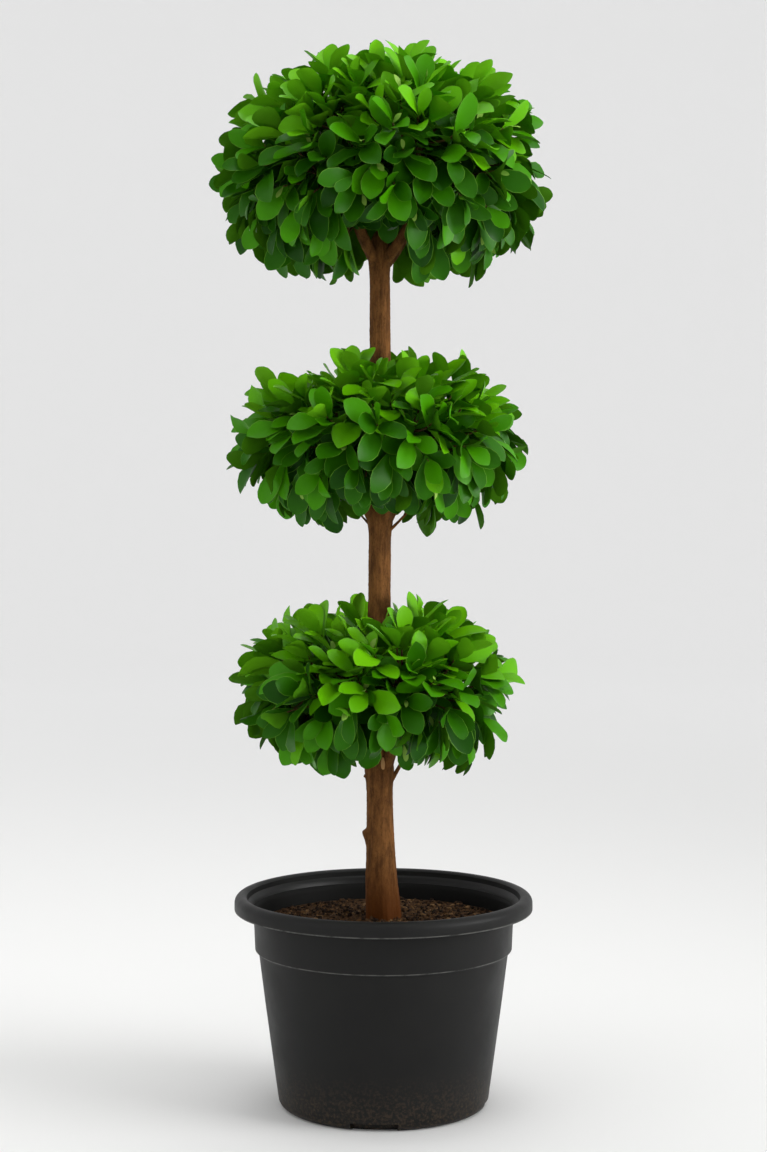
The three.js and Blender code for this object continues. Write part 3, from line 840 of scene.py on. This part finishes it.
# single leaves that hang before the trunk
pendants = {
    "low": [{"root": (-16, -76, 522), "way": (0.02, 0.05, -1), "face": (-0.2, -1, 0), "length": 52}],
    "middle": [{"root": (-3, -72, 856), "way": (0.03, 0.05, -1), "face": (0.05, -1, 0), "length": 62}],
    "top": [{"root": (5, -64, 1206), "way": (0.02, -0.1, -1), "face": (0.1, -1, 0), "length": 60}],
}
leafNumber = np.arange(growth["leaves"])[:, None]  # down a shoot, from the youngest
leafAge = (leafNumber + 0.5) / growth["leaves"]
stray = np.linspace(0, 1, growth["stances"])  # how far each stance strays from the plain one
leafRows = np.array([0, 0.18, 0.42, 0.66, 0.83, 0.925, 0.98, 1.0])
leafColumns = np.array([-1, -0.95, 0, 0.95, 1.0])
# a coarse net over a blade, and the pairs of its points that are neighbours
netRows, netColumns = np.array([0.24, 0.45, 0.65, 0.84, 1.0]), np.array([-0.8, 0, 0.8])
netU, netV = (grid.ravel() for grid in np.meshgrid(netRows, netColumns, indexing="ij"))
netAt = np.arange(netU.size).reshape(len(netRows), len(netColumns))
netLines = np.concatenate([
    np.stack([netAt[:-1], netAt[1:]], -1).reshape(-1, 2),
    np.stack([netAt[:, :-1], netAt[:, 1:]], -1).reshape(-1, 2),
])


# height of a tier over or under its equator, and the power of its outline there
def halfShape(tier, over):
    return np.where(over, tier["rise"], tier["drop"]), np.where(over, tier["shoulder"], growth["skirtPower"])


# point of a tier's outline drawn in by inset, at a polar angle from the top and an azimuth
def surfacePoint(tier, inset, polar, azimuth):
    up = np.cos(polar)
    height, power = halfShape(tier, up >= 0)
    r = (tier["radius"] - inset) * np.clip(np.sin(polar), 0, 1) ** (2 / power)
    h = (height - inset) * np.abs(up) ** (2 / power)
    x = tier["axis"] + r * np.cos(azimuth)
    return np.stack([x, r * np.sin(azimuth), tier["equator"] + np.sign(up) * h], -1)


# how far out a point lies in a tier: 1 is on its outline
def reach(tier, p):
    up = p[..., 2] - tier["equator"]
    height, power = halfShape(tier, up >= 0)
    level = np.hypot(p[..., 0] - tier["axis"], p[..., 1]) / tier["radius"]
    return level ** power + (np.abs(up) / height) ** power


# straight out of a tier at a point
def outward(tier, p):
    up = p[..., 2] - tier["equator"]
    height, _ = halfShape(tier, up >= 0)
    level = tier["radius"] ** 2
    return unit(np.stack([(p[..., 0] - tier["axis"]) / level, p[..., 1] / level, up / height ** 2], -1))


# shoot tips on a spiral, evenly by area from the top of a tier to its lowest shoots
def shootTips(tier, count, inset, rng):
    polar = np.linspace(0, math.radians(growth["shootEnd"]), 241)
    depth = np.mean(inset)
    height, _ = halfShape(tier, np.cos(polar) >= 0)
    slope = np.hypot((height - depth) * np.sin(polar), (tier["radius"] - depth) * np.cos(polar))
    area = np.cumsum(slope * np.sin(polar))
    k = np.arange(count)
    at = np.interp((k + rng.uniform(0.2, 0.8, count)) / count * area[-1], area, polar)
    azimuth = k * goldenAngle + rng.normal(0, 0.05, count)
    drawn = rng.uniform(*inset, count) * (1 + growth["skirtInset"] * np.minimum(np.cos(at), 0))
    return surfacePoint(tier, drawn, at, azimuth), at, np.degrees(azimuth)


# half a blade's width at u along it: u^0.8 (1-u^2.8)^0.66, so widest past the middle, with a blunt tip
def bladeHalf(u):
    return np.maximum(u ** 0.8 * (1 - u ** 2.8) ** 0.66 / 0.577, 0.07)


# points of blades at u along and v across: each bends on an arc away from its face and folds up at its midrib
def bladePoints(leaves, u, v, swell=0.0):
    length, width, arch = (leaves[key][..., None] for key in ("length", "width", "arch"))
    fold, wave = (leaves[key][..., None] for key in ("fold", "wave"))
    half = bladeHalf(u)
    x = length * np.sin(arch * u) / arch
    y = 0.5 * width * half * v
    z = fold * np.abs(y) - length * (1 - np.cos(arch * u)) / arch + swell
    z = z + wave * half * v * np.sin(2.2 * math.pi * u) * 0.06 * length
    across = np.cross(leaves["face"], leaves["way"])
    points = leaves["root"][..., None, :] + leaves["way"][..., None, :] * x[..., None]
    return points + across[..., None, :] * y[..., None] + leaves["face"][..., None, :] * z[..., None]


# how many lines of a net of points pass through a blade from side to side, inside its border
def crossings(points, leaves):
    across = np.cross(leaves["face"], leaves["way"])
    off = points - leaves["root"][..., None, :]
    sides = (leaves["way"], across, leaves["face"])
    along, aside, over = (np.sum(off * side[..., None, :], -1) for side in sides)
    length, width, arch, fold = (leaves[key][..., None] for key in ("length", "width", "arch", "fold"))
    share = along / length
    rise = over + 0.5 * length * arch * share ** 2 - fold * np.abs(aside)
    first, second = netLines.T
    change = rise[..., first] * rise[..., second] < 0
    cut = rise[..., first] / np.where(change, rise[..., first] - rise[..., second], 1)
    at = share[..., first] + cut * (share[..., second] - share[..., first])
    beside = np.abs(aside[..., first] + cut * (aside[..., second] - aside[..., first]))
    border = 0.5 * width * bladeHalf(np.clip(at, 0, 1))
    return np.sum(change & (at > 0.15) & (at < 1) & (beside < border), -1)


# every way that the leaves of some shoots may point and face: round each shoot's axis at the golden angle,
# the oldest most open, and hanging with their weight lower down the tier
def leafAims(tier, tips, polar, inner, rng):
    size = (len(tips), growth["leaves"], growth["stances"])
    out = outward(tier, tips)[:, None, None]
    lift = np.interp(polar, *habit["lift"])[:, None, None, None]
    axis = unit(out + lift * upward + rng.normal(0, scatter["axis"], tips.shape)[:, None, None])
    sideways = square(np.cross(axis, upward) + [0.01, 0.02, 0.03], axis)
    other = np.cross(axis, sideways)
    narrow, broad = growth["open"]
    wide = np.radians(narrow + (broad - narrow) * leafAge ** 0.8) * (1 + growth["innerOpen"] * inner)
    wide = wide + rng.normal(0, scatter["open"], size) * (0.3 + stray)
    turn = rng.uniform(0, 2 * math.pi, (len(tips), 1, 1)) + leafNumber * goldenAngle
    turn = turn + rng.normal(0, scatter["turn"], size) * (0.2 + stray)
    spoke = sideways * np.cos(turn)[..., None] + other * np.sin(turn)[..., None]
    way = axis * np.cos(wide)[..., None] + spoke * np.sin(wide)[..., None]
    weight = np.interp(polar, *habit["weight"])[:, None, None] * (0.5 + 0.6 * leafAge)
    weight = weight * (1 + scatter["weight"] * stray * rng.normal(0, 1, size))
    way = unit(way - weight[..., None] * upward)
    way = unit(way - np.minimum(dot(way, out) - 0.05, 0) * out)
    spread = np.interp(polar, *habit["outward"])[:, None, None, None]
    look = square(square(axis, way) + spread * out, way)
    roll = np.interp(polar, *habit["roll"])[:, None, None]
    roll = roll * rng.choice([-1, 1], size) + rng.normal(0, scatter["roll"], size)
    face = look * np.cos(roll)[..., None] + np.cross(way, look) * np.sin(roll)[..., None]
    return axis, way, face


# lengths of leaves, young ones shorter and buds shortest, each cut to the longest share of it that stays
# inside the tier's outline, which is 0 where none does
def leafLengths(tier, root, way, polar, rng):
    each = (len(polar), growth["leaves"], 1)
    length = np.interp(leafAge, *ageing["length"]) * rng.uniform(*scatter["length"], each)
    skirt = np.clip(-np.cos(polar), 0, 1)[:, None, None]
    uneven = scatter["skirt"] * skirt * rng.uniform(-0.7, 1, each)
    length = growth["length"] * length * (1 + uneven) * (1 - 0.22 * stray)
    budding = (leafNumber == 0) & (rng.uniform(0, 1, (len(polar), 1, 1)) < growth["buds"])
    length = np.where(budding, growth["budSize"][0], 1) * length
    shares = np.linspace(0.5, 1.0, 11)
    ends = root[..., None, :] + way[..., None, :] * (length[..., None] * shares)[..., None]
    deep = np.clip((tier["equator"] - ends[..., 2]) / tier["drop"], 0, 1)
    tall = np.clip((ends[..., 2] - tier["equator"]) / tier["rise"], 0, 1)
    low, high = growth["limit"]
    stagger = rng.uniform(*scatter["reach"], (len(polar), 1, 1, 1))
    fits = reach(tier, ends) <= stagger * (low + (high - low) * deep ** 2 + tier["crest"] * tall ** 2)
    longest = shares[len(shares) - 1 - np.argmax(fits[..., ::-1], -1)]
    share = np.where(fits.any(-1), longest, 0)
    return length * share, share, budding


# one tint for a spray, darker inside and lower down as painted shade and lighter on top as painted light,
# with young leaves lighter and buds pale
def sprayTints(tier, polar, inner, budding, rng):
    shade = np.interp(polar, *habit["shade"])
    spray = growth["skirtShadeTint"] + (growth["crestLightTint"] + tier["bright"]) * (1 - shade)
    spray = spray - growth["innerShadeTint"] * inner + rng.normal(0, scatter["sprayTint"], len(polar))
    young = np.interp(leafAge[:, 0], *ageing["tint"])
    single = rng.normal(0, scatter["leafTint"], (len(polar), len(young)))
    tint = np.clip(np.round(spray[:, None] + young + single), 0, tintNames.index("lime"))
    return np.where(budding[..., 0], tintNames.index("bud"), tint).astype(int)


# the stances of some shoots' leaves: place, aim, shape and tint, and whether each is clear of the wood
def leafStances(tier, tips, polar, inner, rng):
    count, per, ways = len(tips), growth["leaves"], growth["stances"]
    size, each = (count, per, ways), (count, per, 1)
    axis, way, face = leafAims(tier, tips, polar, inner, rng)
    root = tips[:, None, None] - axis * growth["spacing"] * leafNumber[..., None]
    root = np.broadcast_to(root, way.shape)
    length, share, budding = leafLengths(tier, root, way, polar, rng)
    width = growth["width"] * length / np.maximum(share, 0.5) ** 0.4
    numbers = {
        "length": length,
        "width": width * rng.uniform(*scatter["width"], each) * np.where(budding, growth["budSize"][1], 1),
        "arch": np.maximum(rng.normal(*scatter["arch"], each), 0.03),
        "fold": rng.normal(*scatter["fold"], each),
        "wave": rng.normal(*scatter["wave"], each),
        "tint": sprayTints(tier, polar, inner, budding, rng)[..., None],
        "shoot": np.arange(count)[:, None, None],
        "spare": inner * growth["innerCrossings"],
    }
    stances = {key: np.broadcast_to(value, size) for key, value in numbers.items()}
    stances.update(root=root, way=way, face=face)
    stances["free"] = (share > 0) & clearOfWood(tier, stances)
    return {key: value.reshape(count * per, ways, *value.shape[3:]) for key, value in stances.items()}


# whether leaves stand clear of the trunk, of its boughs and of the parting that shows the trunk's face
def clearOfWood(tier, leaves):
    points = bladePoints(leaves, netU, netV)
    line = trunkPoint(points[..., 2])
    aside = points[..., 0] - line[..., 0]
    gap = np.hypot(aside, points[..., 1] - line[..., 1]) - trunkRadius(points[..., 2])
    clear = (gap > growth["trunkGap"]) | (points[..., 2] > trunkSizes["tip"] + growth["leaderGap"])
    t = np.linspace(0, 1, 12)[:, None]
    for index in range(boughSizes["count"]):
        for place in curvePoint(t, *boughLine(tier, index)):
            clear &= np.linalg.norm(points - place, axis=-1) > growth["boughGap"]
    # free all round the trunk under the parting's foot, and only in front of it higher up
    for side, (heights, widths) in tier["parting"].items():
        sign = -1 if side == "left" else 1
        within = (sign * aside >= 0) & (sign * aside < np.interp(points[..., 2], heights, widths))
        shown = (points[..., 2] < heights[0]) | ((points[..., 2] < heights[-1]) & (points[..., 1] < 0))
        clear &= ~(within & shown)
    return clear.all(-1)


# leaves that hang alone, with all their stances alike
def pendantStances(tier):
    hung = pendants[tier["name"]]
    ways = growth["stances"]
    size = (len(hung), ways)
    stances = {key: np.repeat([[leaf[key]] for leaf in hung], ways, 1).astype(float) for key in hung[0]}
    stances["way"] = unit(stances["way"])
    stances["face"] = square(stances["face"], stances["way"])
    stances["width"] = growth["width"] * stances["length"]
    stances["shoot"] = np.repeat(np.arange(len(hung))[:, None], ways, 1)
    plain = {"arch": 0.2, "fold": 0.2, "wave": 0.0, "free": True, "tint": tintNames.index("dark"), "spare": 0}
    stances.update({key: np.full(size, value) for key, value in plain.items()})
    return stances


# each leaf in turn takes the stance in which the fewest lines cross the leaves that stand already
def settled(stances):
    nets = bladePoints(stances, netU, netV)
    taken = np.zeros((len(nets), 2), int)
    found = 0
    shape = {key: stances[key] for key in ("root", "way", "face", "length", "width", "arch", "fold")}
    for leaf in range(len(nets)):
        if not stances["free"][leaf].any():
            continue
        before = taken[:found]
        gap = np.linalg.norm(stances["root"][before[:, 0], before[:, 1]] - stances["root"][leaf, 0], axis=-1)
        rows, picks = before[gap < growth["near"] * growth["length"]].T
        others = {key: value[rows, picks] for key, value in shape.items()}
        mine = {key: value[leaf][:, None] for key, value in shape.items()}
        hits = crossings(nets[leaf][:, None], others).sum(-1)
        hits = hits + crossings(nets[rows, picks][None], mine).sum(-1)
        hits = np.where(stances["free"][leaf], hits, len(netLines) * len(nets))
        best = int(np.argmin(hits))
        if hits[best] <= stances["spare"][leaf, best]:
            taken[found] = leaf, best
            found += 1
    rows, picks = taken[:found].T
    return {key: value[rows, picks] for key, value in stances.items()}


# faces of one leaf: an upper and a lower sheet that share their border, so that it is closed
def leafTemplate():
    rows, columns = len(leafRows), len(leafColumns)
    upper = np.arange(rows * columns).reshape(rows, columns)
    lower = upper.copy()
    inside = (rows - 2, columns - 2)
    lower[1:-1, 1:-1] = rows * columns + np.arange(inside[0] * inside[1]).reshape(inside)
    front, back = (np.stack([g[:-1, :-1], g[1:, :-1], g[1:, 1:], g[:-1, 1:]], -1) for g in (upper, lower))
    turnedOver = [0, 3, 2, 1]  # yet split along the same diagonal
    quads = np.concatenate([front.reshape(-1, 4), back[..., turnedOver].reshape(-1, 4)])
    u, v = np.meshgrid(leafRows, leafColumns, indexing="ij")
    u = np.concatenate([u.ravel(), u[1:-1, 1:-1].ravel()])
    v = np.concatenate([v.ravel(), v[1:-1, 1:-1].ravel()])
    side = np.ones(len(u))
    side[rows * columns:] = -1
    strip = np.broadcast_to(np.arange(columns - 1), (rows - 1, columns - 1)).ravel()
    return quads, u, v, side, strip


# one mass of a tier: leaves as one piece; stem, branches and twigs as another
def buildMass(tier, index, limbs, leaves):
    name = f"{tier['name']}_{index + 1}"
    quads, u, v, side, strip = leafTemplate()
    body = (1 - v ** 2) * np.clip(4 * u * (1.02 - u), 0, 1)
    points = bladePoints(leaves, u, v, side * 0.5 * growth["thickness"] * body)
    tint = leaves["tint"]
    faces = (quads + len(u) * np.arange(len(tint))[:, None, None]).reshape(-1, 4)
    # a pale strip along each border of the upper sheet: a painted highlight
    rim = (strip == 0) | (strip == len(leafColumns) - 2)
    upper = np.where(rim, tintNames.index("edge"), tint[:, None])
    sunny = tint >= tintNames.index("bright")
    under = np.where(sunny, tintNames.index("underLit"), tintNames.index("under"))
    dealt = np.concatenate([upper, np.repeat(under[:, None], len(strip), 1)], 1).ravel()
    nodes = ["foliage_" + name]
    newPiece("leaves_" + name, points.reshape(-1, 3), [faces], leafColours, "leaf", nodes, dealt, sharp=70)
    newPiece("twigs_" + name, *joined(limbs), [twigBark], "bark")
    return len(tint), len(faces) * 2


# which wedge of a tier an azimuth in degrees lies in
def wedgeOf(tier, azimuth):
    wide = 360 / boughSizes["count"]
    return np.floor(((azimuth - tier["turn"] + 0.5 * wide) % 360) / wide).astype(int)


# wood of a mass: a stem on from its bough, branches along it, and a twig to each tip from the nearest branch
def massLimbs(tier, index, branchEnd, tips):
    w = limbSizes
    _, bend, end = boughLine(tier, index)
    across, rise = w["heart"]
    heart = boughPlace(tier, index, across * tier["radius"], tier["equator"] + rise * tier["rise"])
    knee = end + unit(end - bend) * 2 * boughSizes["peg"]
    start = curvePoint(np.linspace(*w["forks"], len(branchEnd))[:, None], end, knee, heart)
    length = np.linalg.norm(branchEnd - start, axis=-1, keepdims=True)
    arch = 0.5 * (start + branchEnd) + w["arch"] * length * upward
    nearest = np.argmin(np.linalg.norm(tips[:, None] - branchEnd, axis=-1), axis=1)
    twigBend = tips - outward(tier, tips) * w["twigBend"]
    return [
        curvedLimbs(end[None], knee[None], heart[None], w["stem"]),
        curvedLimbs(start, arch, branchEnd, w["branch"]),
        curvedLimbs(branchEnd[nearest], twigBend, tips, w["twig"]),
    ]


# a tier: shoots on an outer and an inner spiral, their leaves settled together, and a mass on each bough
def buildTier(tier, seed):
    rng = np.random.default_rng(seed)
    name = tier["name"]
    branchEnd, _, branchAzimuth = shootTips(tier, growth["branches"], growth["branchInset"], rng)
    hung = pendantStances(tier)
    grown, tips = [hung], [hung["root"][:, 0]]
    for inner, layer in enumerate(("outer", "inner")):
        place, polar, _ = shootTips(tier, growth[layer][name], growth[layer + "Inset"], rng)
        stances = leafStances(tier, place, polar, inner, rng)
        stances["shoot"] = stances["shoot"] + sum(len(t) for t in tips)
        grown.append(stances)
        tips.append(place)
    tips = np.concatenate(tips)
    leaves = settled({key: np.concatenate([g[key] for g in grown]) for key in hung})
    leafy = np.isin(np.arange(len(tips)), leaves["shoot"])
    wedge = wedgeOf(tier, np.degrees(np.arctan2(tips[:, 1], tips[:, 0] - tier["axis"])))
    branchWedge = wedgeOf(tier, branchAzimuth)
    total = np.zeros(2, int)
    for index in range(boughSizes["count"]):
        limbs = massLimbs(tier, index, branchEnd[branchWedge == index], tips[(wedge == index) & leafy])
        held = (wedge == index)[leaves["shoot"]]
        total += buildMass(tier, index, limbs, {key: value[held] for key, value in leaves.items()})
    print("tier", name, "has", total[0], "leaves of", total[1], "triangles")


for number, tier in enumerate(tiers):
    buildTier(tier, growth["seed"] + number)

# floor, light and camera
stageSizes = {
    "flat": 6500,
    "rise": 2600,
    "wall": 5200,
    "sides": 96,
    "floorColour": (232, 232, 231),
    "wallColour": (246, 246, 246),
    "blend": (0.5, 6.0),  # metres from the middle where the floor's colour turns into the wall's
    "wallGlow": 0.08,
}


# a wide pale bowl: a flat disc that turns up on an arc into a wall
def buildFloor(s):
    bend = arc((s["flat"], s["rise"]), s["rise"], -90, 0, 16)
    section = np.concatenate([[[5, 0], [1500, 0]], bend, [[s["flat"] + s["rise"], s["wall"]]]])
    turns = evenTurns(s["sides"])
    points = turnedPoints(section[:, :1], section[:, 1:], turns)
    quads, fans = tubeFaces(len(section), len(turns))
    pale = Finish("pale floor", s["floorColour"], 0.9, 0.1, Emission_Color=(1, 1, 1, 1))
    span = pale.node("ShaderNodeVectorMath", operation="LENGTH")
    pale.link(pale.place(), span.inputs[0])
    away = pale.ranged(span.outputs["Value"], *s["blend"])
    pale.paint(pale.mixed(away, s["floorColour"], s["wallColour"]))
    glow = pale.ranged(span.outputs["Value"], *s["blend"], 0.0, s["wallGlow"])
    pale.link(glow, pale.shader.inputs["Emission Strength"])
    floor = newPiece("floor", points, [quads[:, ::-1], fans[: s["sides"], ::-1]], [pale.material])


# places and targets in metres, powers in watts, spreads in degrees
lightSizes = {
    "world": 0.7,
    "key": {"place": (2.85, -1.0, 1.95), "target": (0.1, 0, 1.35), "size": 2.2, "power": 23, "spread": 70},
    "fill": {"place": (-2.5, -1.8, 1.7), "target": (0, 0, 0.7), "size": 2.2, "power": 13, "spread": 180},
    "overhead": {"place": (0.2, 0.3, 3.9), "target": (0, 0, 0.6), "size": 2.6, "power": 49, "spread": 180},
}


# an area light that looks from its place to its target
def areaLight(name, place, target, size, power, spread):
    lamp = bpy.data.lights.new(name, "AREA")
    lamp.energy = power
    lamp.size = size
    lamp.spread = math.radians(spread)
    made = bpy.data.objects.new(name, lamp)
    made.location = place
    x, y, z = np.array(target, float) - np.array(place, float)
    made.rotation_euler = (math.atan2(math.hypot(x, y), -z), 0, math.atan2(y, x) - math.pi / 2)
    bpy.context.scene.collection.objects.link(made)


# an even white world and three area lights
def buildLight(s):
    world = bpy.data.worlds.new("studio")
    world.use_nodes = True
    background = world.node_tree.nodes["Background"]
    background.inputs["Color"].default_value = (1, 1, 1, 1)
    background.inputs["Strength"].default_value = s["world"]
    bpy.context.scene.world = world
    for name in ("key", "fill", "overhead"):
        areaLight(name, **s[name])
    bpy.context.scene.view_settings.view_transform = "Standard"


# distances in metres, pitch in degrees, and the lens in pixels of the picture's height
cameraSizes = {
    "distance": 3.0,
    "height": 0.86,
    "pitch": 2.84,
    "focalPixels": 2250,
    "frameHeight": 1152,
    "sensor": 36,
}


# a camera before the plant, on its middle plane and pitched a little down
def buildCamera(c):
    lens = bpy.data.cameras.new("camera")
    lens.sensor_width = c["sensor"]
    lens.lens = c["sensor"] * c["focalPixels"] / c["frameHeight"]
    made = bpy.data.objects.new("camera", lens)
    made.location = (0, -c["distance"], c["height"])
    made.rotation_euler = (math.radians(90 - c["pitch"]), 0, 0)
    bpy.context.scene.collection.objects.link(made)
    bpy.context.scene.camera = made


buildFloor(stageSizes)
buildLight(lightSizes)
buildCamera(cameraSizes)
print("stage made")
